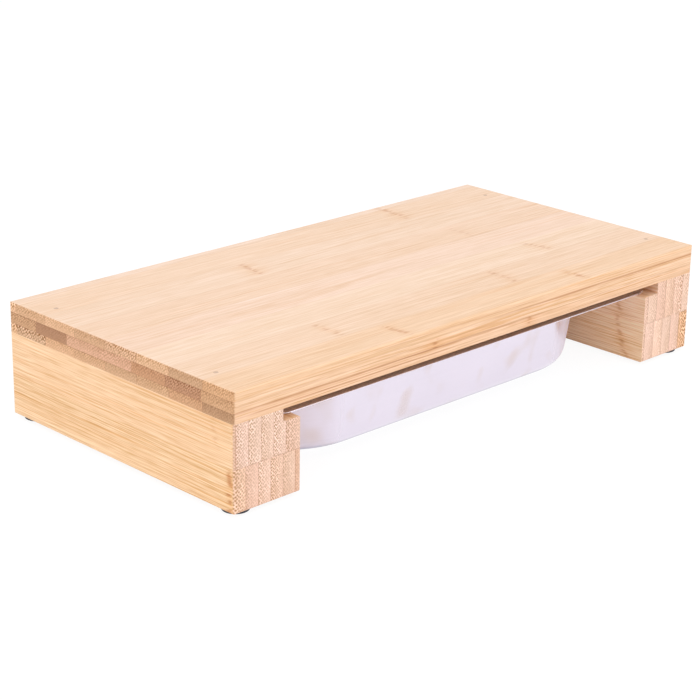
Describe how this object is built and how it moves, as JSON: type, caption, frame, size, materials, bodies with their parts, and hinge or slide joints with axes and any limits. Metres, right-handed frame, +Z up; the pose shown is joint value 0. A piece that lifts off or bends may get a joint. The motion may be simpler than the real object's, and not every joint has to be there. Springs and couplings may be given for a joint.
{
  "type": "cutting board with slide-in tray",
  "caption": "Laminated bamboo cutting board on rails, with a pressed steel tray that slides out from under it.",
  "frame": {"origin": "centre of the footprint, at the underside of the feet", "axes": "+X along the board, -Y to the front, +Z up"},
  "size_m": [0.4, 0.2, 0.073],
  "materials": {
    "bamboo_pale": "oiled satin",
    "bamboo_straw": "oiled satin",
    "bamboo_honey": "oiled satin",
    "bamboo_rose": "oiled satin",
    "bamboo_russet": "oiled satin",
    "bamboo_brown": "oiled satin",
    "bamboo_amber": "oiled satin",
    "filler": "matte",
    "foot_rubber": "matte",
    "pin_steel": "plain",
    "tray_steel": "satin"
  },
  "bodies": {
    "board_stand": {"top_ply_stave_1": "bamboo_pale", "top_ply_stave_2": "bamboo_straw", "top_ply_stave_3": "bamboo_pale", "top_ply_stave_4": "bamboo_straw", "top_ply_stave_5": "bamboo_pale", "top_ply_stave_6": "bamboo_pale", "top_ply_stave_7": "bamboo_straw", "top_ply_stave_8": "bamboo_honey", "core_ply_stave_1": "bamboo_honey", "core_ply_stave_2": "bamboo_brown", "core_ply_stave_3": "bamboo_rose", "core_ply_stave_4": "bamboo_rose", "core_ply_stave_5": "bamboo_russet", "core_ply_stave_6": "bamboo_brown", "core_ply_stave_7": "bamboo_honey", "bottom_ply_stave_1": "bamboo_straw", "bottom_ply_stave_2": "bamboo_pale", "bottom_ply_stave_3": "bamboo_straw", "bottom_ply_stave_4": "bamboo_straw", "bottom_ply_stave_5": "bamboo_straw", "bottom_ply_stave_6": "bamboo_straw", "bottom_ply_stave_7": "bamboo_honey", "bottom_ply_stave_8": "bamboo_honey", "left_rail_upper_stave_1": "bamboo_honey", "left_rail_upper_stave_2": "bamboo_pale", "left_rail_upper_stave_3": "bamboo_pale", "left_rail_upper_stave_4": "bamboo_pale", "left_rail_upper_stave_5": "bamboo_pale", "left_rail_upper_stave_6": "bamboo_straw", "left_rail_lower_stave_1": "bamboo_honey", "left_rail_lower_stave_2": "bamboo_straw", "left_rail_lower_stave_3": "bamboo_pale", "left_rail_lower_stave_4": "bamboo_straw", "left_rail_lower_stave_5": "bamboo_straw", "left_rail_lower_stave_6": "bamboo_honey", "right_rail_upper_stave_1": "bamboo_pale", "right_rail_upper_stave_2": "bamboo_straw", "right_rail_upper_stave_3": "bamboo_straw", "right_rail_upper_stave_4": "bamboo_straw", "right_rail_upper_stave_5": "bamboo_pale", "right_rail_upper_stave_6": "bamboo_straw", "right_rail_lower_stave_1": "bamboo_amber", "right_rail_lower_stave_2": "bamboo_pale", "right_rail_lower_stave_3": "bamboo_pale", "right_rail_lower_stave_4": "bamboo_pale", "right_rail_lower_stave_5": "bamboo_pale", "right_rail_lower_stave_6": "bamboo_straw", "foot_front_left": "foot_rubber", "foot_front_right": "foot_rubber", "foot_back_left": "foot_rubber", "foot_back_right": "foot_rubber", "rail_pins": "pin_steel", "pin_fillers": "filler"},
    "tray": {"tray": "tray_steel"}
  },
  "joints": [
    {"name": "tray_slide", "type": "slide", "parent": "board_stand", "child": "tray", "axis": [0, -1, 0], "range_m": [-0.161, 0.15]}
  ]
}
